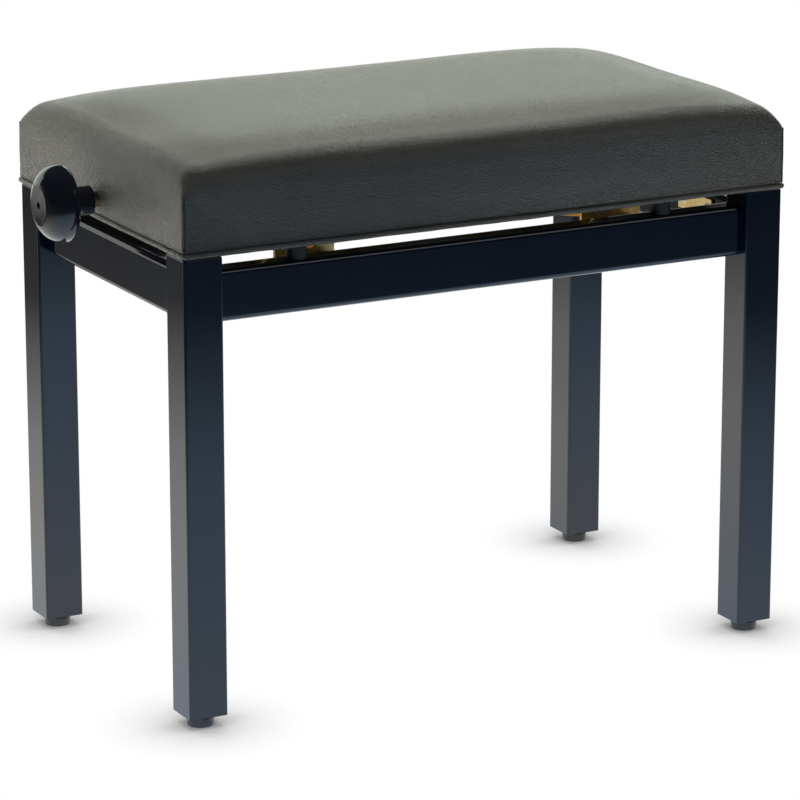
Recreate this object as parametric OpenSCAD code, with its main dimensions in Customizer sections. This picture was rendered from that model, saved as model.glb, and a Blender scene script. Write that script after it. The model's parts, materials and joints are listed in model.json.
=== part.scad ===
// Adjustable piano bench: a four-legged lacquered base and a padded seat
// that a side knob raises on a pair of scissor arms.
// Origin: on the floor, at the centre of the four feet. X along the seat, Y to the back, Z up.

/* [Base] */
// Length over the outer faces of the legs
base_l = 556; // [540:1:600]
// Depth over the outer faces of the legs
base_d = 325; // [315:1:360]
// Side of each square leg
leg_w = 34; // [32:1:38]
// Height of the leg tops above the floor
leg_top = 391.5; // [391:0.1:391.5]
// Height of the lower edge of the aprons
apron_z = 335.5; // [330:0.5:336]
// Height of the upper edge of the aprons
apron_top = 378.5; // [376:0.5:380]
// Thickness of the aprons
apron_t = 22; // [20:1:24]
// Distance of the aprons in from the outer faces of the legs
apron_inset = 8; // [6:1:9]
// Rounding of the long edges of the legs
edge_r = 2; // [1:0.5:3]
// Rounding of the long edges of the aprons
apron_r = 4.5; // [2:0.5:6]

/* [Feet] */
// Height of each glide
glide_h = 10; // [8:1:12]
// Diameter of each glide
glide_d = 22; // [20:1:26]

/* [Seat] */
// Length over the sides of the cushion
seat_l = 560; // [556:1:620]
// Depth over the sides of the cushion
seat_d = 330; // [326:1:380]
// Height of the underside of the seat rails at the lowest setting
seat_z = 393; // [393:0.5:394]
// Height of the shoulder where the cushion's sides end
shoulder_z = 452; // [448:1:456]
// Height of the middle of the cushion
crown_z = 472; // [468:1:480]
// Thickness of the seat rails
rail_t = 28; // [24:1:30]
// Height of the seat rails
rail_h = 32; // [30:1:34]
// Thickness of the plywood board
board_t = 6; // [5:1:8]
// Thickness of the vinyl cover
cover_t = 1.2; // [1:0.1:1.5]
// Diameter of the piping round the lower edge
piping_d = 4.6; // [4:0.1:5]

/* [Lift] */
// How far the seat rises
lift = 80; // [60:1:80]
// Distance between the end pivots of each scissor arm
arm_l = 300; // [290:1:310]
// Distance of the fixed pivots to the right of the middle
pivot_x = 160; // [150:1:165]
// Height of the pivots that belong to the base
low_z = 368; // [367:0.5:369]
// Height of the screw and of the seat's pivots at the lowest setting
high_z = 409; // [408:0.5:410]
// Width of each arm
arm_w = 22; // [20:1:24]
// Thickness of each arm
arm_t = 5; // [4:0.5:5]

/* [Screw] */
// Outside diameter of the lifting screw
screw_d = 12; // [12:1:14]
// Pitch of its thread
pitch = 4; // [3:1:4]
// Diameter of the knob
knob_d = 64; // [56:1:70]
// Length of the knob from its stem to its face
knob_l = 45; // [42:1:48]

/* [Hidden] */
$fn = 48;
half_l = base_l / 2;
half_d = base_d / 2;
leg_x = half_l - leg_w / 2;
leg_y = half_d - leg_w / 2;
apron_h = apron_top - apron_z;
// Outer and inner faces of the aprons
apron_x = half_l - apron_inset;
apron_y = half_d - apron_inset;
inner_x = apron_x - apron_t;
inner_y = apron_y - apron_t;

// Glides: the step at the top, and the screw moulded into the rubber
glide_step = 3;
shank_r = 2;
shank_up = 20;
head_r = 5;
head_t = 1.4;
head_deep = 2.8;

// Dowels between aprons and legs
dowel_d = 8;
dowel_reach = 12;
dowel_z = [apron_z + 21, apron_top - 10];

// Seat body: hard frame just inside the cover
skin_gap = 0.3;
frame_x = seat_l / 2 - cover_t - skin_gap;
frame_y = seat_d / 2 - cover_t - skin_gap;
board_z = seat_z + rail_h;
foam_z = board_z + board_t;
piping_z = seat_z + piping_d / 2 - 1;
cover_z = piping_z + piping_d / 2 + 0.2;
// How far the piping stands out past the cushion's sides
piping_out = 1;
// Bend of the piping's middle line at the corners, and the step's clearance behind it
piping_bend = piping_d / 2 + 0.1;
step_gap = 0.3;
// Rounding of the upright corners of the cover and of the frame inside it
cover_corner = 5;
frame_corner = 4.5;

// Linkage
tilt = asin((high_z - low_z) / arm_l);
slide_x = pivot_x - arm_l * cos(tilt);
top_tilt = asin((high_z - low_z + lift) / arm_l);
travel = arm_l * (cos(tilt) - cos(top_tilt));
// Inner faces of arms A and B, the radii of their pins, and the running clearance on them
a_in = 44;
b_in = 52;
pin_r = 4;
axle_r = 5;
run = 0.05;
plate_t = 3;
// Clearance of the pivot left open where the arms cross, and of the slot at the end of arm A
cross_gap = 1.2;
slot_gap = 0.4;
slot_half = 5;

// Shelf of the bent brackets that carry the arms' lower ends, and the flange on the apron
shelf_z = 354;
flange_h = 18;
boss_r = 13;
slot_bracket_x = [slide_x - 12, slide_x + travel + 20];
pivot_bracket_x = [pivot_x - 18, pivot_x + 40];

// Stiffening plates inside the end aprons
end_plate_t = 2;
end_plate_y = [50, 103];
end_plate_in = 8;
end_plate_low = 357;
end_plate_high = 373;

// Screw line
face_x = -331;
stem_x = face_x + knob_l;
rail_in = frame_x - rail_t;
thread_x0 = -236;
thread_x1 = -104;
end_x = -86;
nut_l = 22;
screw_plate_x = -96;

shaft_end = face_x + 14;
bush_r = 9;
journal_r = 4.5;
neck_r = 5;
sleeve_r = 6.5;
// Washer and collar that bear on the inner face of the left rail
washer_x = -rail_in + 0.3;
collar_x = washer_x + 2.3;
collar_l = 10;

// Carriage: a bar across the screw, with the lifting nut in its middle
bar_t = 14;
bar_end = a_in - 2;
nut_r = 9;

// Inner face of the bracket plates beside the arms, and the middle height of the slots
web_y = b_in + arm_t + 2;
slot_z = low_z - 0.4;

// Bolts up through the seat's brackets and the board, each with a tee nut on top
bolt_spots = [[screw_plate_x + 14, -12], [screw_plate_x + 14, 12],
  [pivot_x - 12, web_y + 14], [pivot_x + 12, web_y + 14],
  [pivot_x - 12, -web_y - 14], [pivot_x + 12, -web_y - 14]];
bolt_hole = 3.5;
tee_r = 8;
tee_t = 1.2;

// Rubber rests on the long aprons, under the seat rails
bumper_x = 170;
bumper_y = apron_y - apron_t / 2;
bumper_d = 18;
bumper_top = seat_z - 0.2;
bumper_well = bumper_top - 6;

// Diagonal bolt that pulls a leg into its corner, through a corner block
corner_z = apron_z + 10.5;
bolt_r = 4;
bolt_in = 20;
block_leg = 46;
block_h = 19;
washer_t = 1.6;
nut_t = 6.5;
// Distance from the inner edge of a leg back to the block's slanted face
leg_edge_sum = half_l - leg_w + half_d - leg_w;
block_sum = inner_x + inner_y - block_leg;
face_back = (leg_edge_sum - block_sum) / sqrt(2);

black_lacquer = [0.03, 0.03, 0.05];
black_vinyl = [0.14, 0.14, 0.13];
raw_wood = [0.76, 0.62, 0.42];
stained_wood = [0.06, 0.06, 0.06];
cushion_foam = [0.85, 0.83, 0.72];
knob_plastic = [0.05, 0.05, 0.05];
yellow_zinc = [0.78, 0.62, 0.28];
bright_steel = [0.72, 0.72, 0.74];
black_rubber = [0.07, 0.07, 0.07];
bronze = [0.72, 0.5, 0.25];

// ---------- helpers ----------

// Rod along Y from y0 to y1 at x, z
module rod_y(x, z, r, y0, y1) {
  translate([x, min(y0, y1), z]) rotate([-90, 0, 0]) cylinder(r = r, h = abs(y1 - y0));
}

// Rod along X from x0 to x1 at y, z
module rod_x(x0, x1, y, z, r) {
  translate([min(x0, x1), y, z]) rotate([0, 90, 0]) cylinder(r = r, h = abs(x1 - x0));
}

// Rod along Z from z0 to z1 at x, y
module rod_z(x, y, r, z0, z1) {
  translate([x, y, z0]) cylinder(r = r, h = z1 - z0);
}

// Box between two corners
module box(a, b) {
  translate([min(a.x, b.x), min(a.y, b.y), min(a.z, b.z)])
    cube([abs(b.x - a.x), abs(b.y - a.y), abs(b.z - a.z)]);
}

// Rectangle with round corners, centred
module soft_rect(w, d, r) {
  square([w - 2 * r, d], center = true);
  square([w, d - 2 * r], center = true);
  for (x = [-1, 1], y = [-1, 1]) translate([x * (w / 2 - r), y * (d / 2 - r)]) circle(r = r);
}

// A copy at each of the four corners, turned so that the piece points outward
module four_corners() {
  for (sx = [-1, 1], sy = [-1, 1])
    mirror([sx < 0 ? 1 : 0, 0, 0]) mirror([0, sy < 0 ? 1 : 0, 0]) children();
}

// A copy at the front and one at the back
module front_and_back() {
  for (sy = [-1, 1]) mirror([0, sy < 0 ? 1 : 0, 0]) children();
}

// ---------- legs and aprons ----------

module dowel_set() {
  four_corners() for (z = dowel_z) {
    rod_x(half_l - leg_w - dowel_reach, half_l - leg_w + dowel_reach, apron_y - apron_t / 2, z,
      dowel_d / 2);
    rod_y(apron_x - apron_t / 2, z, dowel_d / 2, half_d - leg_w - dowel_reach,
      half_d - leg_w + dowel_reach);
  }
}

module corner_line(r, from, to) {
  translate([half_l - leg_w, half_d - leg_w, corner_z]) rotate([0, 0, 45])
    rod_x(from, to, 0, 0, r);
}

// The mortise for the dowels is cut where the leg stands
module leg() {
  color(black_lacquer) difference() {
    translate([leg_x, leg_y, glide_h]) {
      linear_extrude(leg_top - glide_h - edge_r) soft_rect(leg_w, leg_w, edge_r);
      linear_extrude(leg_top - glide_h) soft_rect(leg_w - 2 * edge_r, leg_w - 2 * edge_r, edge_r);
      translate([0, 0, leg_top - glide_h - edge_r]) edge_ring(leg_w);
    }
    dowel_set();
    corner_line(bolt_r, -1, bolt_in);
    rod_z(leg_x, leg_y, shank_r, glide_h - 1, glide_h + shank_up);
  }
}

// Round top edge of a leg
module edge_ring(w) {
  h = w / 2 - edge_r;
  intersection() {
    for (s = [-1, 1]) {
      rod_y(s * h, 0, edge_r, -h, h);
      rod_x(-h, h, s * h, 0, edge_r);
      for (t = [-1, 1]) translate([s * h, t * h, 0]) sphere(r = edge_r);
    }
    translate([-w, -w, 0]) cube([2 * w, 2 * w, edge_r]);
  }
}

module leg_front_left() { mirror([1, 0, 0]) mirror([0, 1, 0]) leg(); }
module leg_front_right() { mirror([0, 1, 0]) leg(); }
module leg_back_left() { mirror([1, 0, 0]) leg(); }
module leg_back_right() { leg(); }

// Screws through the brackets' flanges into the long aprons
module flange_screw_lines(r, back) {
  front_and_back() for (ends = [slot_bracket_x, pivot_bracket_x], dx = [-15, 15])
    rod_y((ends[0] + ends[1]) / 2 + dx, shelf_z + 10, r, inner_y - back, inner_y + 14);
}
// Screws through the stiffening plates into the end aprons
module plate_screw_lines(r, back) {
  four_corners() for (y = [end_plate_y[0] + end_plate_in, end_plate_y[1] - end_plate_in])
    rod_x(inner_x - back, inner_x + 12, y, (end_plate_low + end_plate_high) / 2, r);
}

module long_apron() {
  color(black_lacquer) difference() {
    translate([0, apron_y - apron_t / 2, (apron_z + apron_top) / 2])
      rotate([90, 0, 90]) translate([0, 0, -(half_l - leg_w)])
        linear_extrude(base_l - 2 * leg_w) soft_rect(apron_t, apron_h, apron_r);
    dowel_set();
    four_corners() corner_line(bolt_r + 0.3, -30, 8);
    flange_screw_lines(2, 1);
    for (s = [-1, 1]) rod_z(s * bumper_x, bumper_y, 2, apron_top - 12, apron_top + 1);
  }
}

module apron_back() { long_apron(); }
module apron_front() { mirror([0, 1, 0]) long_apron(); }

module end_apron() {
  color(black_lacquer) difference() {
    translate([apron_x - apron_t / 2, half_d - leg_w, (apron_z + apron_top) / 2])
      rotate([90, 0, 0]) linear_extrude(base_d - 2 * leg_w) soft_rect(apron_t, apron_h, apron_r);
    dowel_set();
    four_corners() corner_line(bolt_r + 0.3, -30, 8);
    plate_screw_lines(1.6, 1);
  }
}

module apron_right() { end_apron(); }
module apron_left() { mirror([1, 0, 0]) end_apron(); }

module apron_dowels() { color(raw_wood) dowel_set(); }

module corner_blocks() {
  color(raw_wood) four_corners() difference() {
    translate([0, 0, corner_z - block_h / 2]) linear_extrude(block_h)
      polygon([[inner_x, inner_y], [inner_x - block_leg, inner_y], [inner_x, inner_y - block_leg]]);
    box([half_l - leg_w, half_d - leg_w, 0], [half_l, half_d, leg_top]);
    corner_line(bolt_r + 0.3, -60, 5);
  }
}

module corner_bolts() {
  color(bright_steel) four_corners() corner_line(bolt_r, -face_back - washer_t - nut_t - 4, bolt_in);
}
module corner_washers() {
  color(bright_steel) four_corners() difference() {
    corner_line(9, -face_back - washer_t, -face_back);
    corner_line(bolt_r + 0.3, -60, 5);
  }
}
module corner_nuts() {
  color(bright_steel) four_corners() difference() {
    translate([half_l - leg_w, half_d - leg_w, corner_z]) rotate([0, 0, 45])
      translate([-face_back - washer_t - nut_t, 0, 0]) rotate([0, 90, 0])
        cylinder(d = 15, h = nut_t, $fn = 6);
    corner_line(bolt_r, -60, 5);
  }
}

// ---------- feet ----------

module glide() {
  r = glide_d / 2;
  difference() {
    union() {
      rod_z(0, 0, r, 0, glide_h - glide_step);
      rod_z(0, 0, r - 1.2, glide_h - glide_step, glide_h);
    }
    glide_screw(0, 0);
  }
}
// Screw moulded into a glide: a flat head buried in the rubber and a shank up into the leg
module glide_screw(x, y) {
  rod_z(x, y, shank_r, glide_h - head_deep, glide_h + shank_up);
  rod_z(x, y, head_r, glide_h - head_deep, glide_h - head_deep + head_t);
}
module foot_glides() {
  color(black_rubber) four_corners() translate([leg_x, leg_y, 0]) glide();
}
module glide_screws() {
  color(bright_steel) four_corners() glide_screw(leg_x, leg_y);
}

// ---------- rubber rests between base and seat ----------

module rest_bumpers() {
  color(black_rubber) for (sx = [-1, 1], sy = [-1, 1])
    translate([sx * bumper_x, sy * bumper_y, apron_top]) difference() {
      cylinder(d1 = bumper_d, d2 = bumper_d - 2, h = bumper_top - apron_top);
      rod_z(0, 0, 2, -1, 20);
      rod_z(0, 0, 4.4, bumper_well - apron_top, 20);
    }
}
module bumper_screws() {
  color(bright_steel) for (sx = [-1, 1], sy = [-1, 1]) translate([sx * bumper_x, sy * bumper_y, 0]) {
    rod_z(0, 0, 2, apron_top - 12, bumper_well);
    rod_z(0, 0, 3.8, bumper_well, bumper_well + 2.5);
  }
}

// ---------- steel fixed to the base ----------

// Bent plate: an upright web beside the arm, a level shelf and a flange on the long apron
module bent_bracket(ends, web_top) {
  box([ends[0], web_y, shelf_z - plate_t], [ends[1], web_y + plate_t, web_top]);
  box([ends[0], web_y, shelf_z - plate_t], [ends[1], inner_y, shelf_z]);
  box([ends[0], inner_y - plate_t, shelf_z - plate_t], [ends[1], inner_y, shelf_z + flange_h]);
}
// Brackets with the level slots that the lower ends of arms B slide in
module slot_brackets() {
  color(yellow_zinc) difference() {
    front_and_back() difference() {
      bent_bracket(slot_bracket_x, low_z + 14);
      level_slot(slide_x, slide_x + travel, slot_z, pin_r + 0.9);
    }
    flange_screw_lines(2, plate_t + 1);
  }
}
// Level slot through the bracket plate, with round ends
module level_slot(xa, xb, z, r) {
  rod_y(xa, z, r, web_y - 1, web_y + plate_t + 1);
  rod_y(xb, z, r, web_y - 1, web_y + plate_t + 1);
  box([xa, web_y - 1, z - r], [xb, web_y + plate_t + 1, z + r]);
}

module base_pivot_brackets() {
  color(yellow_zinc) difference() {
    front_and_back() difference() {
      union() {
        bent_bracket(pivot_bracket_x, low_z);
        rod_y(pivot_x, low_z, boss_r, web_y, web_y + plate_t);
      }
      rod_y(pivot_x, low_z, axle_r, web_y - 1, web_y + plate_t + 1);
    }
    flange_screw_lines(2, plate_t + 1);
  }
}
module base_bracket_screws() {
  color(bright_steel) {
    flange_screw_lines(2, plate_t);
    front_and_back() for (ends = [slot_bracket_x, pivot_bracket_x], dx = [-15, 15])
      rod_y((ends[0] + ends[1]) / 2 + dx, shelf_z + 10, 4, inner_y - plate_t - 2, inner_y - plate_t);
  }
}
// Pins fixed in the base brackets, with a shoulder that keeps arm A clear of arm B
module base_pivot_pins() {
  color(bright_steel) front_and_back() {
    rod_y(pivot_x, low_z, axle_r, a_in - 2, web_y + plate_t);
    rod_y(pivot_x, low_z, 8, a_in + arm_t + 0.3, web_y);
    rod_y(pivot_x, low_z, 8, web_y + plate_t, web_y + plate_t + 3);
  }
}
module base_pivot_rings() {
  color(bright_steel) front_and_back() ring_y(pivot_x, low_z, axle_r, a_in - 1.5);
}

// Plates that stiffen the end aprons from inside
module apron_plates() {
  color(yellow_zinc) difference() {
    four_corners() box([inner_x - end_plate_t, end_plate_y[0], end_plate_low],
      [inner_x, end_plate_y[1], end_plate_high]);
    plate_screw_lines(1.6, end_plate_t + 1);
  }
}
module plate_screws() {
  color(bright_steel) {
    plate_screw_lines(1.6, end_plate_t);
    four_corners() for (y = [end_plate_y[0] + end_plate_in, end_plate_y[1] - end_plate_in])
      rod_x(inner_x - end_plate_t - 1.5, inner_x - end_plate_t, y,
        (end_plate_low + end_plate_high) / 2, 3.2);
  }
}

// Retaining ring on a pin of radius r
module ring_y(x, z, r, y) {
  difference() {
    rod_y(x, z, r + 3, y, y + 1.2);
    rod_y(x, z, r, y - 1, y + 3);
  }
}

// ---------- seat frame ----------

module rail_screw_lines(r) {
  four_corners() rod_y(frame_x - rail_t / 2, seat_z + rail_h / 2, r, frame_y - rail_t - 25, frame_y - 8);
}
module board_screw_lines(r, z0) {
  for (x = [-210, -70, 70, 210], s = [-1, 1]) rod_z(x, s * (frame_y - rail_t / 2), r, z0, foam_z);
  for (s = [-1, 1]) rod_z(s * (frame_x - rail_t / 2), 60, r, z0, foam_z);
}
// Step round the frame's lower edge, where the piping lies
module piping_step() {
  x = seat_l / 2 + piping_out - piping_d - step_gap;
  y = seat_d / 2 + piping_out - piping_d - step_gap;
  difference() {
    box([-seat_l, -seat_d, seat_z - 1], [seat_l, seat_d, cover_z]);
    box([-x, -y, seat_z - 2], [x, y, cover_z + 1]);
  }
}
// Frame outline with its round outer corners, from z0 to z1
module frame_block(z0, z1) {
  translate([0, 0, z0]) linear_extrude(z1 - z0) soft_rect(2 * frame_x, 2 * frame_y, frame_corner);
}
module long_rail() {
  color(stained_wood) difference() {
    intersection() {
      box([-frame_x, frame_y - rail_t, seat_z], [frame_x, frame_y, board_z]);
      frame_block(seat_z, board_z);
    }
    rail_screw_lines(2.5);
    four_corners() rod_y(frame_x - rail_t / 2, seat_z + rail_h / 2, 5, frame_y - 8, frame_y + 1);
    board_screw_lines(2, board_z - 18);
    piping_step();
  }
}
module seat_rail_back() { long_rail(); }
module seat_rail_front() { mirror([0, 1, 0]) long_rail(); }
module end_rail() {
  color(stained_wood) difference() {
    box([rail_in, -(frame_y - rail_t), seat_z], [frame_x, frame_y - rail_t, board_z]);
    rail_screw_lines(2.5);
    board_screw_lines(2, board_z - 18);
    piping_step();
  }
}
module seat_rail_right() { end_rail(); }
module seat_rail_left() {
  difference() {
    mirror([1, 0, 0]) end_rail();
    rod_x(-frame_x - 1, -rail_in + 1, 0, high_z, bush_r);
  }
}
module rail_screws() {
  color(bright_steel) {
    rail_screw_lines(2.5);
    four_corners() rod_y(frame_x - rail_t / 2, seat_z + rail_h / 2, 4.6, frame_y - 8, frame_y - 5);
  }
}

module seat_board() {
  color(stained_wood) difference() {
    frame_block(board_z, foam_z);
    board_screw_lines(2, board_z - 18);
    board_heads();
    for (p = bolt_spots) {
      rod_z(p.x, p.y, bolt_hole, board_z - 1, foam_z + 1);
      rod_z(p.x, p.y, tee_r, foam_z - tee_t, foam_z + 1);
    }
  }
}
module board_heads() {
  for (x = [-210, -70, 70, 210], s = [-1, 1])
    rod_z(x, s * (frame_y - rail_t / 2), 4, foam_z - 2.5, foam_z);
  for (s = [-1, 1]) rod_z(s * (frame_x - rail_t / 2), 60, 4, foam_z - 2.5, foam_z);
}
module board_screws() {
  color(bright_steel) {
    board_screw_lines(2, board_z - 18);
    board_heads();
  }
}

// ---------- cushion ----------

// Radius of the arc that rises by "rise" over a half width "half"
function crown_r(half, rise) = (half * half + rise * rise) / (2 * rise);

// Block with straight sides and a top crowned both ways, shrunk by g on every side
module crowned_block(z0, g, corner = cover_corner) {
  hl = seat_l / 2 - g;
  hd = seat_d / 2 - g;
  top = crown_z - g;
  edge = shoulder_z - g;
  rl = crown_r(hl, top - edge);
  rd = crown_r(hd, top - edge);
  intersection() {
    translate([0, 0, z0]) linear_extrude(top - z0) soft_rect(2 * hl, 2 * hd, corner);
    rod_y(0, top - rl, rl, -seat_d, seat_d, $fn = 720);
    rod_x(-seat_l, seat_l, 0, top - rd, rd, $fn = 720);
  }
}
module foam_pad() { color(cushion_foam) crowned_block(foam_z, cover_t + skin_gap, frame_corner); }
module cushion_cover() {
  color(black_vinyl) difference() {
    crowned_block(cover_z, 0);
    crowned_block(cover_z - 1, cover_t, cover_corner - cover_t);
    rod_x(-seat_l, -rail_in, 0, high_z, sleeve_r + 0.4);
  }
}
module cover_piping() {
  r = piping_d / 2;
  hx = seat_l / 2 - r + piping_out;
  hy = seat_d / 2 - r + piping_out;
  x = hx - piping_bend;
  y = hy - piping_bend;
  color(black_vinyl) {
    for (s = [-1, 1]) {
      rod_x(-x, x, s * hy, piping_z, r);
      rod_y(s * hx, piping_z, r, -y, y);
    }
    for (q = [0:3]) {
      sx = (q == 0 || q == 3) ? 1 : -1;
      sy = q < 2 ? 1 : -1;
      translate([sx * x, sy * y, piping_z]) rotate([0, 0, 90 * q])
        rotate_extrude(angle = 90) translate([piping_bend, 0]) circle(r = r);
    }
  }
}

// ---------- steel fixed to the seat ----------

module seat_pivot_brackets() {
  color(yellow_zinc) front_and_back() difference() {
    union() {
      box([pivot_x - 20, web_y, high_z], [pivot_x + 20, web_y + plate_t, board_z]);
      rod_y(pivot_x, high_z, 12, web_y, web_y + plate_t);
      box([pivot_x - 20, web_y + plate_t, board_z - plate_t],
        [pivot_x + 20, web_y + 24, board_z]);
    }
    rod_y(pivot_x, high_z, axle_r, web_y - 1, web_y + plate_t + 1);
    bolt_lines();
  }
}
module bolt_lines() {
  for (p = bolt_spots) rod_z(p.x, p.y, 2.5, board_z - 10, foam_z - 0.5);
}
module seat_pivot_pins() {
  color(bright_steel) front_and_back() {
    rod_y(pivot_x, high_z, axle_r, b_in - 2, web_y + plate_t);
    rod_y(pivot_x, high_z, 8, web_y + plate_t, web_y + plate_t + 3);
  }
}
module seat_pivot_rings() {
  color(bright_steel) front_and_back() ring_y(pivot_x, high_z, axle_r, b_in - 1.5);
}
module screw_end_bracket() {
  color(yellow_zinc) difference() {
    union() {
      box([screw_plate_x, -18, high_z], [screw_plate_x + 4, 18, board_z]);
      rod_x(screw_plate_x, screw_plate_x + 4, 0, high_z, 15);
      box([screw_plate_x, -18, board_z - plate_t], [screw_plate_x + 24, 18, board_z]);
    }
    rod_x(screw_plate_x - 1, screw_plate_x + 5, 0, high_z, journal_r + run);
    bolt_lines();
  }
}
module bracket_bolts() {
  color(bright_steel) for (p = bolt_spots) {
    rod_z(p.x, p.y, 2.5, board_z - plate_t, foam_z - 0.5);
    rod_z(p.x, p.y, 4.5, board_z - plate_t - 3, board_z - plate_t);
  }
}
module tee_nuts() {
  color(bright_steel) for (p = bolt_spots) difference() {
    union() {
      rod_z(p.x, p.y, bolt_hole, board_z, foam_z);
      rod_z(p.x, p.y, tee_r, foam_z - tee_t, foam_z);
    }
    rod_z(p.x, p.y, 2.5, board_z - 1, foam_z + 1);
  }
}
module screw_bush() {
  color(bronze) difference() {
    union() {
      rod_x(-frame_x, -rail_in, 0, high_z, bush_r);
      rod_x(stem_x + 0.4, -frame_x, 0, high_z, sleeve_r);
    }
    rod_x(stem_x, -rail_in + 1, 0, high_z, neck_r + run);
  }
}

// ---------- lifting screw ----------

// Outline of the threaded length as crests and roots, one tooth a pitch
thread_n = floor((thread_x1 - thread_x0) / pitch);
thread_outline = concat([[0, thread_x0]],
  [for (i = [0:thread_n - 1]) each [[screw_d / 2, thread_x0 + i * pitch],
    [screw_d / 2, thread_x0 + (i + 0.35) * pitch],
    [screw_d / 2 - 1.4, thread_x0 + (i + 0.55) * pitch],
    [screw_d / 2 - 1.4, thread_x0 + (i + 0.8) * pitch]]],
  [[screw_d / 2, thread_x0 + thread_n * pitch], [0, thread_x0 + thread_n * pitch]]);
module lift_screw() {
  color(bright_steel) {
    rod_x(shaft_end, collar_x, 0, high_z, neck_r);
    rod_x(collar_x, thread_x0, 0, high_z, screw_d / 2);
    translate([0, 0, high_z]) rotate([0, 90, 0]) rotate_extrude() polygon(thread_outline);
    rod_x(thread_x0 + thread_n * pitch, end_x, 0, high_z, journal_r);
  }
}
module thrust_collar() {
  color(bright_steel) difference() {
    rod_x(collar_x, collar_x + collar_l, 0, high_z, 11);
    rod_x(collar_x - 1, collar_x + collar_l + 1, 0, high_z, screw_d / 2);
    rod_z(collar_x + collar_l / 2, 0, 2, high_z + 5, high_z + 14);
  }
}
module thrust_washer() {
  color(bright_steel) difference() {
    rod_x(washer_x, washer_x + 2, 0, high_z, 12);
    rod_x(washer_x - 1, washer_x + 3, 0, high_z, neck_r);
  }
}

// Mushroom knob: a domed head with a flat disc face, a rounded rim and a waisted stem
module knob_outline() {
  r = knob_d / 2;
  dome = 20;
  rim_r = 5;
  disc_r = 15.5;
  stem_r = 12;
  flare = 4;
  mid = knob_l - dome;
  difference() {
    union() {
      intersection() {
        translate([r - dome, mid]) circle(r = dome);
        translate([0, mid]) square([r, dome - 0.6]);
      }
      translate([0, mid]) square([r - dome, dome - 0.6]);
      translate([0, knob_l - 2]) square([disc_r, 2]);
      intersection() {
        translate([r - rim_r, mid]) circle(r = rim_r);
        translate([0, mid - rim_r]) square([r, rim_r]);
      }
      translate([0, mid - rim_r]) square([r - rim_r, rim_r]);
      square([stem_r, mid]);
      difference() {
        translate([0, mid - rim_r - flare]) square([stem_r + flare, flare]);
        translate([stem_r + flare, mid - rim_r - flare]) circle(r = flare);
      }
    }
    square([neck_r, knob_l - 14]);
    translate([0, knob_l - 15]) square([3, 16]);
  }
}
module knob() {
  color(knob_plastic) translate([stem_x, 0, high_z]) rotate([0, -90, 0])
    rotate_extrude($fn = 64) knob_outline();
}
module knob_screw() {
  color(bright_steel) difference() {
    rod_x(face_x + 2, shaft_end, 0, high_z, 3);
    rod_x(face_x + 1, face_x + 4, 0, high_z, 1.6);
  }
}

// ---------- carriage on the screw ----------

module lift_nut() {
  color(bronze) difference() {
    union() {
      rod_x(slide_x - bar_t / 2 - 4, slide_x + nut_l - 11, 0, high_z, nut_r);
      rod_x(slide_x - bar_t / 2 - 4, slide_x - bar_t / 2, 0, high_z, 14);
    }
    rod_x(slide_x - 30, slide_x + 30, 0, high_z, screw_d / 2 + run);
  }
}
module carriage_bar() {
  color(yellow_zinc) difference() {
    box([slide_x - bar_t / 2, -bar_end, high_z - 11], [slide_x + bar_t / 2, bar_end, high_z + 11]);
    rod_x(slide_x - 30, slide_x + 30, 0, high_z, nut_r);
    front_and_back() rod_y(slide_x, high_z, pin_r, bar_end - 18, bar_end + 1);
  }
}
module carriage_pins() {
  color(bright_steel) front_and_back() rod_y(slide_x, high_z, pin_r, bar_end - 18, a_in + arm_t + 2);
}
module carriage_rings() {
  color(bright_steel) front_and_back() ring_y(slide_x, high_z, pin_r, a_in + arm_t + 0.4);
}

// ---------- scissor arms ----------

// Flat bar from a pivot at the origin to the left, with round ends
module bar_blank(y0, reach) {
  box([-reach, y0, -arm_w / 2], [0, y0 + arm_t, arm_w / 2]);
  rod_y(0, 0, arm_w / 2, y0, y0 + arm_t);
  rod_y(-reach, 0, arm_w / 2, y0, y0 + arm_t);
}
module arm_a() {
  color(yellow_zinc) translate([pivot_x, 0, low_z]) rotate([0, tilt, 0]) difference() {
    bar_blank(a_in, arm_l + slot_half);
    rod_y(0, 0, axle_r + run, a_in - 1, a_in + arm_t + 1);
    rod_y(-arm_l / 2, 0, pin_r + cross_gap, a_in - 1, a_in + arm_t + 1);
    rod_y(-arm_l + slot_half, 0, pin_r + slot_gap, a_in - 1, a_in + arm_t + 1);
    rod_y(-arm_l - slot_half, 0, pin_r + slot_gap, a_in - 1, a_in + arm_t + 1);
    box([-arm_l - slot_half, a_in - 1, -pin_r - slot_gap],
      [-arm_l + slot_half, a_in + arm_t + 1, pin_r + slot_gap]);
  }
}
module arm_a_back() { arm_a(); }
module arm_a_front() { mirror([0, 1, 0]) arm_a(); }
module arm_a_spreader() {
  color(yellow_zinc) translate([pivot_x, 0, low_z]) rotate([0, tilt, 0]) rod_y(-60, 0, 6, -a_in, a_in);
}
module arm_b() {
  color(yellow_zinc) translate([pivot_x, 0, high_z]) rotate([0, -tilt, 0]) difference() {
    bar_blank(b_in, arm_l);
    rod_y(0, 0, axle_r + run, b_in - 1, b_in + arm_t + 1);
    rod_y(-arm_l / 2, 0, pin_r, b_in - 1, b_in + arm_t + 1);
    rod_y(-arm_l, 0, pin_r, b_in - 1, b_in + arm_t + 1);
  }
}
module arm_b_back() { arm_b(); }
module arm_b_front() { mirror([0, 1, 0]) arm_b(); }
module arm_b_spreader() {
  color(yellow_zinc) translate([pivot_x, 0, high_z]) rotate([0, -tilt, 0])
    rod_y(-arm_l + 50, 0, 6, -b_in, b_in);
}
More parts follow.
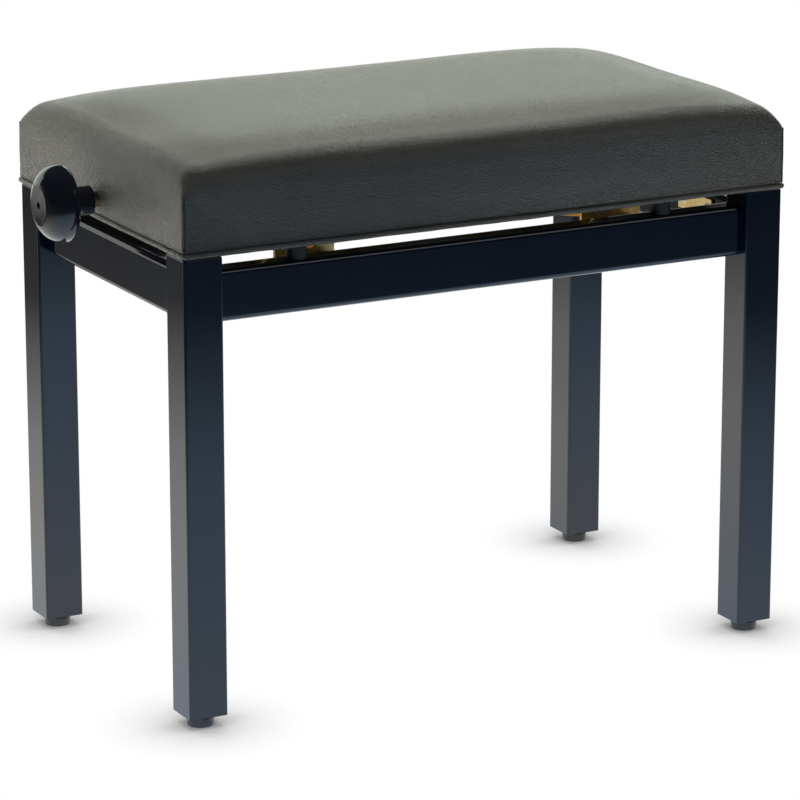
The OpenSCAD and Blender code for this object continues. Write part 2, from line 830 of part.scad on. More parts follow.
// Pins fixed in the lower ends of arms B; their heads run outside the slots
module slide_pins() {
  color(bright_steel) front_and_back() translate([pivot_x, 0, high_z]) rotate([0, -tilt, 0]) {
    rod_y(-arm_l, 0, pin_r, b_in, web_y + plate_t + 0.5);
    rod_y(-arm_l, 0, 7, web_y + plate_t + 0.5, web_y + plate_t + 2.5);
  }
}
module cross_pins() {
  color(bright_steel) front_and_back() translate([pivot_x, 0, high_z]) rotate([0, -tilt, 0]) {
    rod_y(-arm_l / 2, 0, pin_r, a_in - 0.5, b_in + arm_t);
    rod_y(-arm_l / 2, 0, 7.5, a_in - 2.5, a_in - 0.5);
  }
}

leg_front_left();
leg_front_right();
leg_back_left();
leg_back_right();
apron_front();
apron_back();
apron_left();
apron_right();
apron_dowels();
corner_blocks();
corner_bolts();
corner_washers();
corner_nuts();
foot_glides();
glide_screws();
rest_bumpers();
bumper_screws();
slot_brackets();
base_pivot_brackets();
base_bracket_screws();
apron_plates();
plate_screws();
base_pivot_pins();
base_pivot_rings();
seat_rail_front();
seat_rail_back();
seat_rail_left();
seat_rail_right();
rail_screws();
seat_board();
board_screws();
foam_pad();
cushion_cover();
cover_piping();
seat_pivot_brackets();
seat_pivot_pins();
seat_pivot_rings();
screw_end_bracket();
bracket_bolts();
tee_nuts();
screw_bush();
lift_screw();
thrust_collar();
thrust_washer();
knob();
knob_screw();
lift_nut();
carriage_bar();
carriage_pins();
carriage_rings();
arm_a_front();
arm_a_back();
arm_a_spreader();
arm_b_front();
arm_b_back();
arm_b_spreader();
slide_pins();
cross_pins();
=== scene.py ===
import json
import math

import bmesh
import bpy
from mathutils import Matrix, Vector, bvhtree, noise


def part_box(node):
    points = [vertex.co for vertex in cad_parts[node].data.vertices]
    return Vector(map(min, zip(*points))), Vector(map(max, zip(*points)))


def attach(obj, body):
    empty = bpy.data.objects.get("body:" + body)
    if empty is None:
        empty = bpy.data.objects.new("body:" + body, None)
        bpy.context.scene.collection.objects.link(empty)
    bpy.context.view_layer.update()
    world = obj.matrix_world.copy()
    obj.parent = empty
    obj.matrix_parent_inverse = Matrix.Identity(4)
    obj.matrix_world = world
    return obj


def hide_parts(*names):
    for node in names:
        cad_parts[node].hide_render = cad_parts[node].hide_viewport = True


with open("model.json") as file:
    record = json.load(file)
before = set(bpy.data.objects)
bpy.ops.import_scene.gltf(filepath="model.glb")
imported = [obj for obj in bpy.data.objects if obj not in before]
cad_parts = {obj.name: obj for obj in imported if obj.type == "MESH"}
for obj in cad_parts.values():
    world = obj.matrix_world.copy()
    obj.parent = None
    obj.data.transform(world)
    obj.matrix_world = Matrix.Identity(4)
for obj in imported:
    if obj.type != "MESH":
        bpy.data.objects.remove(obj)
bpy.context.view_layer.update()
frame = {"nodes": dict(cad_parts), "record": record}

# ---------- places taken from the frame ----------

COVER_LOW, COVER_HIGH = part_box("cushion_cover")
PIPING_LOW, PIPING_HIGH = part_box("cover_piping")
HALF_L = COVER_HIGH.x
HALF_D = COVER_HIGH.y
CROWN_Z = COVER_HIGH.z
PIPING_Z = (PIPING_LOW.z + PIPING_HIGH.z) / 2


# ---------- node helpers ----------

def new_material(name):
    """An empty node material with its Principled shader and a small place to add nodes."""
    mat = bpy.data.materials.new(name)
    mat.use_nodes = True
    tree = mat.node_tree
    shader = tree.nodes["Principled BSDF"]
    return mat, tree, shader


def add(tree, kind, **values):
    """A node of that kind, with attributes set by name."""
    node = tree.nodes.new(kind)
    for key, value in values.items():
        setattr(node, key, value)
    return node


def coordinates(tree, scale=(1, 1, 1)):
    """Object coordinates in metres, so that patterns keep their real size."""
    coord = add(tree, "ShaderNodeTexCoord")
    mapping = add(tree, "ShaderNodeMapping")
    mapping.inputs["Scale"].default_value = scale
    tree.links.new(coord.outputs["Object"], mapping.inputs["Vector"])
    return mapping.outputs["Vector"]


def noise_of(tree, vector, scale, detail=2.0, roughness=0.5):
    node = add(tree, "ShaderNodeTexNoise")
    node.inputs["Scale"].default_value = scale
    node.inputs["Detail"].default_value = detail
    node.inputs["Roughness"].default_value = roughness
    tree.links.new(vector, node.inputs["Vector"])
    return node.outputs["Fac"]


def ramp_of(tree, value, stops):
    """A colour ramp with (position, colour) stops; a grey colour may be one number."""
    node = add(tree, "ShaderNodeValToRGB")
    elements = node.color_ramp.elements
    while len(elements) > len(stops):
        elements.remove(elements[-1])
    while len(elements) < len(stops):
        elements.new(1.0)
    for element, (place, colour) in zip(elements, stops):
        element.position = place
        element.color = (colour, colour, colour, 1) if isinstance(colour, float) else (*colour, 1)
    tree.links.new(value, node.inputs["Fac"])
    return node.outputs["Color"]


def spread(tree, socket, pattern, first, last, ends=(0.3, 0.7)):
    """Drives a shader socket from first to last along a pattern of noise."""
    tree.links.new(ramp_of(tree, pattern, [(ends[0], first), (ends[1], last)]), socket)


def bump_of(tree, height, strength, distance, below=None):
    node = add(tree, "ShaderNodeBump")
    node.inputs["Strength"].default_value = strength
    node.inputs["Distance"].default_value = distance
    tree.links.new(height, node.inputs["Height"])
    if below is not None:
        tree.links.new(below, node.inputs["Normal"])
    return node.outputs["Normal"]


# ---------- materials ----------

def lacquer():
    """High-gloss black polyester lacquer: deep blue-black, mirror smooth, with a faint ripple."""
    mat, tree, shader = new_material("lacquer")
    at = coordinates(tree)
    spread(tree, shader.inputs["Base Color"], noise_of(tree, at, 6, 2),
           (0.0016, 0.0036, 0.010), (0.0028, 0.0056, 0.015))
    spread(tree, shader.inputs["Roughness"], noise_of(tree, at, 40, 3), 0.05, 0.085, (0.3, 0.75))
    ripple = bump_of(tree, noise_of(tree, at, 55, 1), 0.10, 0.0004)
    tree.links.new(ripple, shader.inputs["Normal"])
    shader.inputs["IOR"].default_value = 1.5
    return mat


def vinyl():
    """Upholstery vinyl: near-black, with a fine pebbled grain and a soft sheen."""
    mat, tree, shader = new_material("vinyl")
    at = coordinates(tree)
    spread(tree, shader.inputs["Base Color"], noise_of(tree, at, 14, 3),
           (0.040, 0.037, 0.031), (0.050, 0.046, 0.038))
    spread(tree, shader.inputs["Roughness"], noise_of(tree, at, 320, 2), 0.21, 0.27)
    cells = add(tree, "ShaderNodeTexVoronoi", feature="DISTANCE_TO_EDGE")
    cells.inputs["Scale"].default_value = 520
    warp = add(tree, "ShaderNodeTexNoise")
    warp.inputs["Scale"].default_value = 500
    tree.links.new(at, warp.inputs["Vector"])
    mix = add(tree, "ShaderNodeMixRGB", blend_type="LINEAR_LIGHT")
    mix.inputs["Fac"].default_value = 0.0012
    tree.links.new(at, mix.inputs["Color1"])
    tree.links.new(warp.outputs["Color"], mix.inputs["Color2"])
    tree.links.new(mix.outputs["Color"], cells.inputs["Vector"])
    pebble = ramp_of(tree, cells.outputs["Distance"], [(0.0, 0.0), (0.22, 0.85), (0.6, 1.0)])
    grain = bump_of(tree, pebble, 0.8, 0.0008)
    soft = bump_of(tree, noise_of(tree, at, 22, 2), 0.2, 0.0012, grain)
    tree.links.new(soft, shader.inputs["Normal"])
    shader.inputs["IOR"].default_value = 1.5
    return mat


def zinc():
    """Yellow-passivated zinc plate: brassy, with drifting gold, copper and green tints."""
    mat, tree, shader = new_material("yellow_zinc")
    at = coordinates(tree)
    tint = ramp_of(tree, noise_of(tree, at, 38, 3, 0.6),
                   [(0.25, (0.62, 0.36, 0.14)), (0.45, (0.78, 0.56, 0.22)), (0.6, (0.86, 0.70, 0.34)),
                    (0.8, (0.60, 0.58, 0.26))])
    tree.links.new(tint, shader.inputs["Base Color"])
    spread(tree, shader.inputs["Roughness"], noise_of(tree, at, 220, 3), 0.26, 0.42)
    shader.inputs["Metallic"].default_value = 1.0
    tree.links.new(bump_of(tree, noise_of(tree, at, 700, 2), 0.2, 0.0002), shader.inputs["Normal"])
    return mat


def steel():
    """Bright zinc-plated steel with fine turning marks."""
    mat, tree, shader = new_material("bright_steel")
    at = coordinates(tree)
    spread(tree, shader.inputs["Base Color"], noise_of(tree, at, 90, 3),
           (0.52, 0.53, 0.55), (0.70, 0.70, 0.71))
    spread(tree, shader.inputs["Roughness"], noise_of(tree, at, 400, 2), 0.22, 0.36)
    shader.inputs["Metallic"].default_value = 1.0
    tree.links.new(bump_of(tree, noise_of(tree, at, 900, 2), 0.15, 0.0001), shader.inputs["Normal"])
    return mat


def turned_brass():
    """Turned bronze and brass, warm and slightly dulled."""
    mat, tree, shader = new_material("bronze")
    at = coordinates(tree)
    spread(tree, shader.inputs["Base Color"], noise_of(tree, at, 60, 3),
           (0.50, 0.30, 0.13), (0.66, 0.44, 0.20))
    spread(tree, shader.inputs["Roughness"], noise_of(tree, at, 300, 2), 0.28, 0.42)
    shader.inputs["Metallic"].default_value = 1.0
    tree.links.new(bump_of(tree, noise_of(tree, at, 800, 2), 0.15, 0.0001), shader.inputs["Normal"])
    return mat


def rubber():
    """Moulded black rubber, matt, with a fine mould texture."""
    mat, tree, shader = new_material("rubber")
    at = coordinates(tree)
    spread(tree, shader.inputs["Base Color"], noise_of(tree, at, 60, 3),
           (0.012, 0.012, 0.013), (0.022, 0.022, 0.023))
    spread(tree, shader.inputs["Roughness"], noise_of(tree, at, 260, 2), 0.42, 0.58)
    tree.links.new(bump_of(tree, noise_of(tree, at, 1200, 2), 0.25, 0.0002), shader.inputs["Normal"])
    return mat


def polished_plastic():
    """Polished black phenolic for the knob, with a few faint handling marks."""
    mat, tree, shader = new_material("knob_plastic")
    at = coordinates(tree)
    spread(tree, shader.inputs["Base Color"], noise_of(tree, at, 30, 2),
           (0.004, 0.005, 0.008), (0.007, 0.008, 0.011))
    spread(tree, shader.inputs["Roughness"], noise_of(tree, at, 120, 3), 0.07, 0.14, (0.35, 0.8))
    tree.links.new(bump_of(tree, noise_of(tree, at, 90, 1), 0.05, 0.0003), shader.inputs["Normal"])
    return mat


def bare_wood():
    """Unfinished beech inside the bench, with grain along X."""
    mat, tree, shader = new_material("raw_wood")
    at = coordinates(tree, (3, 60, 60))
    spread(tree, shader.inputs["Base Color"], noise_of(tree, at, 3, 5, 0.6),
           (0.42, 0.28, 0.15), (0.62, 0.46, 0.29))
    spread(tree, shader.inputs["Roughness"], noise_of(tree, at, 8, 3), 0.55, 0.72)
    tree.links.new(bump_of(tree, noise_of(tree, at, 12, 4), 0.3, 0.0003), shader.inputs["Normal"])
    return mat


def stained_wood():
    """The seat's rails and board stained black, with the grain still showing along X."""
    mat, tree, shader = new_material("stained_wood")
    at = coordinates(tree, (4, 70, 70))
    spread(tree, shader.inputs["Base Color"], noise_of(tree, at, 3, 5, 0.6),
           (0.010, 0.009, 0.009), (0.024, 0.021, 0.019))
    spread(tree, shader.inputs["Roughness"], noise_of(tree, at, 8, 3), 0.5, 0.65)
    tree.links.new(bump_of(tree, noise_of(tree, at, 12, 4), 0.3, 0.0003), shader.inputs["Normal"])
    return mat


def foam():
    """Cream open-cell foam."""
    mat, tree, shader = new_material("cushion_foam")
    at = coordinates(tree)
    spread(tree, shader.inputs["Base Color"], noise_of(tree, at, 500, 3),
           (0.62, 0.58, 0.42), (0.80, 0.76, 0.60))
    spread(tree, shader.inputs["Roughness"], noise_of(tree, at, 300, 2), 0.85, 0.95)
    tree.links.new(bump_of(tree, noise_of(tree, at, 900, 2), 0.5, 0.0004), shader.inputs["Normal"])
    return mat


MATERIALS = {
    "black_lacquer": lacquer(),
    "black_vinyl": vinyl(),
    "yellow_zinc": zinc(),
    "bright_steel": steel(),
    "bronze": turned_brass(),
    "black_rubber": rubber(),
    "knob_plastic": polished_plastic(),
    "raw_wood": bare_wood(),
    "stained_wood": stained_wood(),
    "cushion_foam": foam(),
}


def dress_cad_nodes():
    """Every CAD node takes the procedural material of its slot in the record."""
    for part in frame["record"]["subparts"]:
        piece = frame["nodes"][part["node"]]
        material = MATERIALS[part["material_slot"]]
        for place in piece.material_slots:
            place.material = material
        if not piece.material_slots:
            piece.data.materials.append(material)


# ---------- cushion ----------

CUSHION_TOP = CROWN_Z - 0.0020   # the crown before it swells
SIDE_TOP = CROWN_Z - 0.027       # where the straight sides end
SHOULDER_R = 0.020               # how far in the rounded shoulder reaches
SHOULDER_H = 0.0190              # and how high it rises
HEM_Z = COVER_LOW.z
SKIRT = 0.010                    # cloth below the hem, cut off later
SIDE_IN = 0.0009                 # the cover starts this much smaller
CELL = 0.005
CORNER_CELLS = (0.0014, 0.004)   # two closer rows beside each corner
SIDE_ROWS = 12
CORNER_DIP = 0.0030              # how far the corners sink
CORNER_REACH = 0.045
SWELL_LIMIT = 0.006
SIDE_SWELL = 0.45                # share of the swell that the sides take
CLOTH_FRAMES = 20
HOLD_BAND = 0.008                # the cloth is held from this far above the hem
EVEN_ROUNDS = 40
SEAM_DEEP = 0.0032               # pull of a corner seam
LIP_DEEP = 0.0008                # and of the cloth beside it
SEAM_CORE = 0.001
SEAM_SIDE = 0.003
SEAM_RISE = 0.006
VINYL_THICK = 0.0003
PIPING_R = 0.0023
PIPING_OUT = 0.001
PIPING_BEND = 0.0045
WELT_R = 0.0008
WELT_OUT = 0.0010
WELT_POINTS = 28


def shoulder(gap):
    """0 at the cushion's edge, rising like a quarter circle to 1 at SHOULDER_R in from it."""
    part = max(0.0, 1 - gap / SHOULDER_R)
    return math.sqrt(max(0.0, 1 - part * part))


def top_height(x, y, half_l, half_d):
    """Height of the seat's top: rounded shoulders that pinch to a point at each corner, and a crown."""
    edge = shoulder(half_l - abs(x)) * shoulder(half_d - abs(y))
    crown = (1 - (x / half_l) ** 4) * (1 - (y / half_d) ** 4)
    corner = math.hypot(half_l - abs(x), half_d - abs(y))
    dip = CORNER_DIP * math.exp(-(corner / CORNER_REACH) ** 2)
    return SIDE_TOP - dip + SHOULDER_H * edge + (CUSHION_TOP - SIDE_TOP - SHOULDER_H) * crown


def spaced(half, step):
    """Places from -half to half about a step apart, closer at each end for a crisp corner."""
    close, near = CORNER_CELLS
    count = round(2 * (half - near) / step)
    inner = [-half + near + 2 * (half - near) * i / count for i in range(count + 1)]
    return [-half, -half + close] + inner + [half - close, half]


def cushion_form():
    """The cover before it swells: crowned top, straight sides and a skirt below the hem."""
    half_l = HALF_L - SIDE_IN
    half_d = HALF_D - SIDE_IN
    xs = spaced(half_l, CELL)
    ys = spaced(half_d, CELL)
    mesh = bmesh.new()
    top = [[mesh.verts.new((x, y, top_height(x, y, half_l, half_d))) for x in xs] for y in ys]
    for row, above in zip(top, top[1:]):
        for k in range(len(xs) - 1):
            mesh.faces.new((row[k], row[k + 1], above[k + 1], above[k]))
    rim = top[0] + [row[-1] for row in top[1:]] + top[-1][-2::-1] + [row[0] for row in top[-2:0:-1]]
    rings = [rim]
    for n in range(1, SIDE_ROWS + 1):
        share = n / SIDE_ROWS
        rings.append([mesh.verts.new((v.co.x, v.co.y, v.co.z + (HEM_Z - v.co.z) * share)) for v in rim])
    rings.append([mesh.verts.new((v.co.x, v.co.y, HEM_Z - SKIRT)) for v in rim])
    for upper, lower in zip(rings, rings[1:]):
        for k in range(len(rim)):
            n = (k + 1) % len(rim)
            mesh.faces.new((upper[k], lower[k], lower[n], upper[n]))
    data = bpy.data.meshes.new("seat_cushion")
    mesh.to_mesh(data)
    mesh.free()
    piece = bpy.data.objects.new("seat_cushion", data)
    bpy.context.scene.collection.objects.link(piece)
    return piece


def apply_modifiers(piece):
    """Replaces the mesh by what its modifiers make of it."""
    graph = bpy.context.evaluated_depsgraph_get()
    made = bpy.data.meshes.new_from_object(piece.evaluated_get(graph))
    piece.modifiers.clear()
    old = piece.data
    piece.data = made
    bpy.data.meshes.remove(old)


def evened(values, edges, rounds):
    """Values at the vertices, each drawn halfway to the mean of its neighbours, several times over."""
    for _ in range(rounds):
        total = [0.0] * len(values)
        count = [0] * len(values)
        for a, b in edges:
            total[a] += values[b]
            total[b] += values[a]
            count[a] += 1
            count[b] += 1
        values = [0.5 * v + 0.5 * t / max(1, c) for v, t, c in zip(values, total, count)]
    return values


def inflate(piece, limit):
    """Swells the cover off its foam by cloth simulation.

    The foam lets no point sink, and limit caps each move.
    """
    start = [v.co.copy() for v in piece.data.vertices]
    outward = [v.normal.copy() for v in piece.data.vertices]
    edges = [tuple(edge.vertices) for edge in piece.data.edges]
    hold = piece.vertex_groups.new(name="hold")
    for v in piece.data.vertices:
        grip = 1 - (v.co.z - HEM_Z) / HOLD_BAND
        if grip > 0:
            hold.add([v.index], min(1.0, grip), "REPLACE")
    cloth = piece.modifiers.new("cloth", "CLOTH")
    cloth.settings.quality = 5
    cloth.settings.mass = 0.3
    cloth.settings.air_damping = 4
    cloth.settings.tension_stiffness = 60
    cloth.settings.compression_stiffness = 60
    cloth.settings.shear_stiffness = 40
    cloth.settings.bending_stiffness = 8
    cloth.settings.use_pressure = True
    cloth.settings.uniform_pressure_force = 4
    cloth.settings.vertex_group_mass = "hold"
    cloth.settings.effector_weights.gravity = 0
    cloth.point_cache.frame_start = 1
    cloth.point_cache.frame_end = CLOTH_FRAMES
    scene = bpy.context.scene
    for number in range(1, CLOTH_FRAMES + 1):
        scene.frame_set(number)
    apply_modifiers(piece)
    scene.frame_set(1)
    swell = [min(limit, max(0.0, (v.co - was).dot(out)))
             for v, was, out in zip(piece.data.vertices, start, outward)]
    swell = evened(swell, edges, EVEN_ROUNDS)
    for v, was, out, rise in zip(piece.data.vertices, start, outward, swell):
        share = SIDE_SWELL + (1 - SIDE_SWELL) * max(0.0, out.z)
        v.co = was + out * (rise * share if was.z > HEM_Z else 0.0)
    piece.vertex_groups.clear()


def trim_hem(piece):
    """Cuts the skirt off level at the hem and gives the cover its thickness."""
    mesh = bmesh.new()
    mesh.from_mesh(piece.data)
    bmesh.ops.bisect_plane(mesh, geom=mesh.verts[:] + mesh.edges[:] + mesh.faces[:],
                           plane_co=(0, 0, HEM_Z), plane_no=(0, 0, 1), clear_inner=True)
    mesh.to_mesh(piece.data)
    mesh.free()
    skin = piece.modifiers.new("skin", "SOLIDIFY")
    skin.thickness = VINYL_THICK
    skin.offset = -1
    apply_modifiers(piece)


def sew_corners(piece):
    """Draws the cover in along its four corner seams, most of all at the seam itself."""
    corner_l = HALF_L - SIDE_IN
    corner_d = HALF_D - SIDE_IN
    for v in piece.data.vertices:
        gap = math.hypot(corner_l - abs(v.co.x), corner_d - abs(v.co.y))
        if v.co.z < HEM_Z or gap > SEAM_SIDE or v.co.z > SIDE_TOP + SEAM_RISE:
            continue
        inward = Vector((-math.copysign(1, v.co.x), -math.copysign(1, v.co.y), 0)).normalized()
        v.co += inward * (SEAM_DEEP if gap < SEAM_CORE else LIP_DEEP)


def cushion():
    """The vinyl cushion: swollen over its foam, then sewn down its four corners."""
    piece = cushion_form()
    inflate(piece, SWELL_LIMIT)
    sew_corners(piece)
    finer = piece.modifiers.new("finer", "SUBSURF")
    finer.levels = finer.render_levels = 1
    apply_modifiers(piece)
    trim_hem(piece)
    piece.data.shade_smooth()
    piece.data.materials.append(MATERIALS["black_vinyl"])
    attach(piece, "seat")
    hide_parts("cushion_cover", "foam_pad")
    return piece


def tube(name, path, radius, sides=14, closed=True):
    """A tube along a path of points; radius is a function of the point's number."""
    count = len(path)
    mesh = bmesh.new()
    rings = []
    for k, point in enumerate(path):
        before = path[k - 1] if closed or k else path[0]
        after = path[(k + 1) % count] if closed or k < count - 1 else path[-1]
        along = (after - before).normalized()
        side = along.cross(Vector((0.02, 0.01, 1))).normalized()
        over = side.cross(along).normalized()
        ring = []
        for n in range(sides):
            turn = 2 * math.pi * n / sides
            spoke = side * math.cos(turn) + over * math.sin(turn)
            ring.append(mesh.verts.new(point + spoke * radius(k)))
        rings.append(ring)
    pairs = list(zip(rings, rings[1:]))
    if closed:
        pairs.append((rings[-1], rings[0]))
    for ring, following in pairs:
        for n in range(sides):
            m = (n + 1) % sides
            mesh.faces.new((ring[n], ring[m], following[m], following[n]))
    if not closed:
        mesh.faces.new(rings[0])
        mesh.faces.new(rings[-1])
    bmesh.ops.recalc_face_normals(mesh, faces=mesh.faces)
    data = bpy.data.meshes.new(name)
    mesh.to_mesh(data)
    mesh.free()
    data.shade_smooth()
    piece = bpy.data.objects.new(name, data)
    bpy.context.scene.collection.objects.link(piece)
    return piece


def rounded_path(half_l, half_d, bend, z, step):
    """Points round a rectangle with round corners, about a step apart."""
    path = []
    for quarter in range(4):
        turn = quarter * math.pi / 2
        sx = 1 if quarter in (0, 3) else -1
        sy = 1 if quarter < 2 else -1
        middle = Vector((sx * (half_l - bend), sy * (half_d - bend), z))
        for n in range(7):
            angle = turn + math.pi / 2 * n / 6
            path.append(middle + Vector((bend * math.cos(angle), bend * math.sin(angle), 0)))
        run = 2 * ((half_l if quarter in (0, 2) else half_d) - bend)
        count = int(run / step)
        heading = Vector((-math.sin(turn + math.pi / 2), math.cos(turn + math.pi / 2), 0))
        start = path[-1].copy()
        for n in range(1, count):
            path.append(start + heading * (run * n / count))
    return path


def piping():
    """The piped edge under the cushion: a vinyl-covered cord that wanders a little, as sewn."""
    half_l = HALF_L - PIPING_R + PIPING_OUT
    half_d = HALF_D - PIPING_R + PIPING_OUT
    path = rounded_path(half_l, half_d, PIPING_BEND, PIPING_Z, 0.004)
    wandered = []
    for point in path:
        drift = noise.noise(point * 14) * 0.0007 + noise.noise(point * 45) * 0.0003
        sway = noise.noise(point * 19 + Vector((7, 3, 1))) * 0.0003
        outward = Vector((point.x / HALF_L, point.y / HALF_D, 0)).normalized()
        wandered.append(point + Vector((0, 0, drift)) + outward * sway)
    piece = tube("edge_piping", wandered, lambda k: PIPING_R * (1 + 0.05 * noise.noise(path[k] * 120)))
    piece.data.materials.append(MATERIALS["black_vinyl"])
    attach(piece, "seat")
    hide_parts("cover_piping")
    return piece


def corner_seams(cover):
    """The sewn welts that run down the cushion's four corners."""
    graph = bpy.context.evaluated_depsgraph_get()
    tree = bvhtree.BVHTree.FromObject(cover, graph)
    low = HEM_Z + 0.0005
    high = SIDE_TOP - 0.001
    for sx in (-1, 1):
        for sy in (-1, 1):
            out = Vector((sx, sy, 0)).normalized()
            path = []
            for n in range(WELT_POINTS + 1):
                z = low + (high - low) * n / WELT_POINTS
                start = Vector((sx * (HALF_L - 0.03), sy * (HALF_D - 0.03), z))
                hit = tree.ray_cast(start, out)[0]
                if hit:
                    wander = 0.0003 * noise.noise(Vector((sx * 3, sy * 5, z * 60)))
                    path.append(hit + out * WELT_OUT + Vector((-sy, sx, 0)) * wander)
            name = "corner_seam_" + ("front" if sy < 0 else "back") + ("_left" if sx < 0 else "_right")
            last = len(path) - 1
            seam = tube(name, path, lambda k: WELT_R * (1 - 0.5 * (k / last) ** 4), 8, False)
            seam.data.materials.append(MATERIALS["black_vinyl"])
            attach(seam, "seat")


# ---------- stage ----------

def range_of(tree, value, low, high, first, last):
    """A value mapped from low..high to first..last, held at both ends."""
    node = add(tree, "ShaderNodeMapRange")
    node.inputs["From Min"].default_value = low
    node.inputs["From Max"].default_value = high
    node.inputs["To Min"].default_value = first
    node.inputs["To Max"].default_value = last
    tree.links.new(value, node.inputs["Value"])
    return node.outputs["Result"]


def backdrop():
    """A white floor with soft painted contact shadows, and a painted pool of light round the bench that
    glows in reflections only.
    """
    bpy.ops.mesh.primitive_plane_add(size=16, location=(0, 0, 0))
    floor = bpy.context.object
    floor.name = "floor"
    mat, tree, shader = new_material("floor")
    shader.inputs["Base Color"].default_value = (0.0, 0.0, 0.0, 1)
    shader.inputs["Roughness"].default_value = 0.9
    shader.inputs["Specular IOR Level"].default_value = 0.0
    shader.inputs["Emission Strength"].default_value = 1.0
    # Painted shade: the floor glows white to the camera, darkened by an occlusion ramp into painted contact
    # shadows near the feet.
    contact = add(tree, "ShaderNodeAmbientOcclusion")
    contact.samples = 8
    contact.inputs["Distance"].default_value = 0.07
    painted_contact_shade = ramp_of(tree, contact.outputs["AO"], [(0.30, 0.20), (0.75, 0.66), (0.97, 1.0)])
    tree.links.new(painted_contact_shade, shader.inputs["Emission Color"])
    # Painted light: a glowing pool round the bench that fades outwards and is bluer towards the front, seen
    # only in reflections.
    coord = add(tree, "ShaderNodeTexCoord")
    length = add(tree, "ShaderNodeVectorMath", operation="LENGTH")
    tree.links.new(coord.outputs["Object"], length.inputs[0])
    painted_light_pool = ramp_of(tree, range_of(tree, length.outputs["Value"], 0.0, 2.0, 0.0, 1.0),
                   [(0.0, 1.0), (0.25, 0.95), (0.42, 0.8), (0.55, 0.5), (0.72, 0.13), (1.0, 0.07)])
    place = add(tree, "ShaderNodeSeparateXYZ")
    tree.links.new(coord.outputs["Object"], place.inputs["Vector"])
    side = range_of(tree, place.outputs["Y"], -0.5, 0.4, 0.0, 1.0)
    painted_pool_tint = ramp_of(tree, side, [(0.0, (0.58, 0.78, 1.0)), (0.5, (0.8, 0.9, 1.0)), (1.0, (1.0, 0.99, 0.95))])
    painted_pool_blend = add(tree, "ShaderNodeMixRGB", blend_type="MULTIPLY")
    painted_pool_blend.inputs["Fac"].default_value = 1.0
    tree.links.new(painted_light_pool, painted_pool_blend.inputs["Color1"])
    tree.links.new(painted_pool_tint, painted_pool_blend.inputs["Color2"])
    painted_floor_glow = add(tree, "ShaderNodeEmission")
    painted_floor_glow.inputs["Strength"].default_value = 1.5
    tree.links.new(painted_pool_blend.outputs["Color"], painted_floor_glow.inputs["Color"])
    # The camera sees the floor with its painted contact shade; every other ray sees the painted glowing
    # pool.
    path = add(tree, "ShaderNodeLightPath")
    blend = add(tree, "ShaderNodeMixShader")
    tree.links.new(path.outputs["Is Camera Ray"], blend.inputs["Fac"])
    tree.links.new(painted_floor_glow.outputs["Emission"], blend.inputs[1])
    tree.links.new(shader.outputs["BSDF"], blend.inputs[2])
    tree.links.new(blend.outputs["Shader"], tree.nodes["Material Output"].inputs["Surface"])
    floor.data.materials.append(mat)


def surroundings():
    """A white room to look at, and a dim blue-grey one to reflect."""
    world = bpy.data.worlds.new("studio")
    bpy.context.scene.world = world
    world.use_nodes = True
    tree = world.node_tree
    dim = tree.nodes["Background"]
    dim.inputs["Color"].default_value = (0.030, 0.036, 0.052, 1)
    white = add(tree, "ShaderNodeBackground")
    white.inputs["Color"].default_value = (1, 1, 1, 1)
    path = add(tree, "ShaderNodeLightPath")
    blend = add(tree, "ShaderNodeMixShader")
    tree.links.new(path.outputs["Is Camera Ray"], blend.inputs["Fac"])
    tree.links.new(dim.outputs["Background"], blend.inputs[1])
    tree.links.new(white.outputs["Background"], blend.inputs[2])
    tree.links.new(blend.outputs["Shader"], tree.nodes["World Output"].inputs["Surface"])


def softbox(name, place, target, size, brightness, colour=(1, 1, 1), glossy=True):
    """A rectangular softbox at place, turned to face target; brightness is what its face shows."""
    data = bpy.data.lights.new(name, "AREA")
    data.shape = "RECTANGLE"
    data.size, data.size_y = size
    data.energy = brightness * math.pi * size[0] * size[1]
    data.color = colour
    lamp = bpy.data.objects.new(name, data)
    bpy.context.scene.collection.objects.link(lamp)
    lamp.location = place
    lamp.rotation_euler = (Vector(target) - Vector(place)).to_track_quat("-Z", "Y").to_euler()
    lamp.visible_camera = False
    lamp.visible_glossy = glossy
    return lamp


def only_for(lamp, pieces):
    """Keeps a card's light off everything but the given pieces."""
    group = bpy.data.collections.new(lamp.name + "_group")
    for piece in pieces:
        group.objects.link(piece)
    lamp.light_linking.receiver_collection = group


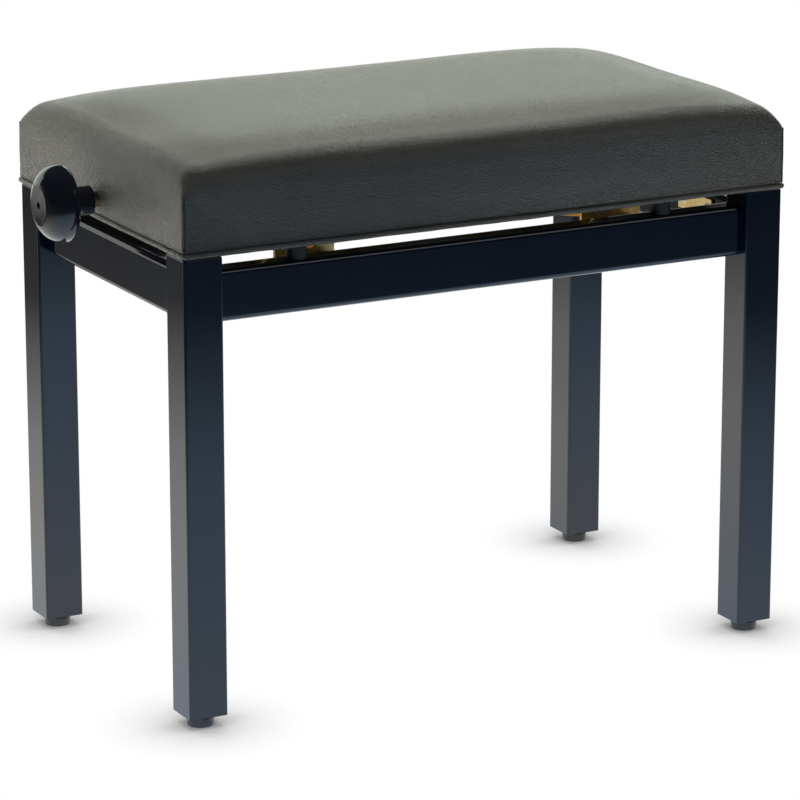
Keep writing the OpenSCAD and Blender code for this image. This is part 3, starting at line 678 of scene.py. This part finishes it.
def lights(vinyl_pieces):
    """Panels behind and in front for the top and the lacquer, and cards low beside the cushion."""
    warm = (1.0, 1.0, 0.93)
    green = (0.94, 1.0, 0.87)
    softbox("overhead", (-0.2, 0.2, 2.6), (0, 0, 0), (3.2, 3.2), 2.6, glossy=False)
    softbox("back_panel", (1.1, 2.9, 0.93), (1.1, 0, 0.93), (6.2, 1.5), 1.25, green)
    softbox("upper_panel", (1.8, 2.1, 1.95), (0.1, 0, 0.44), (1.9, 0.95), 3.0, (0.94, 1.0, 0.88))
    softbox("back_floor", (1.2, 2.6, 0.03), (1.2, 2.6, 1.0), (5.0, 1.7), 1.0, warm)
    softbox("front_panel", (1.15, -1.85, 1.75), (0, 0, 0.44), (1.1, 0.9), 1.2)
    softbox("knob_card", (-0.88, 0.95, 0.19), (1.0, 0.95, 0.19), (0.9, 0.20), 0.8)
    left_card = softbox("left_card", (-0.45, 0.24, 0.25), (1.0, 0.24, 0.25),
                        (0.66, 0.28), 3.0, (1.0, 0.96, 0.88))
    right_card = softbox("right_card", (0.34, -0.34, 0.26), (0.34, 1.0, 0.26),
                         (0.5, 0.22), 1.3, warm)
    only_for(left_card, vinyl_pieces)
    only_for(right_card, vinyl_pieces)


def camera():
    """Looks at the bench from the front left, a little above the seat."""
    target = Vector((0, 0, 0.203))
    turn = math.radians(28.03)
    tip = math.radians(15.47)
    reach = 3.5
    back = Vector((-math.sin(turn) * math.cos(tip), -math.cos(turn) * math.cos(tip), math.sin(tip)))
    data = bpy.data.cameras.new("camera")
    data.sensor_width = 36
    data.lens = 183.5
    eye = bpy.data.objects.new("camera", data)
    bpy.context.scene.collection.objects.link(eye)
    eye.location = target + reach * back
    eye.rotation_euler = (-back).to_track_quat("-Z", "Y").to_euler()
    bpy.context.scene.camera = eye


dress_cad_nodes()
seat_cover = cushion()
corner_seams(seat_cover)
edge_piping = piping()
backdrop()
surroundings()
lights([seat_cover, edge_piping])
camera()
bpy.context.scene.view_settings.view_transform = "Standard"
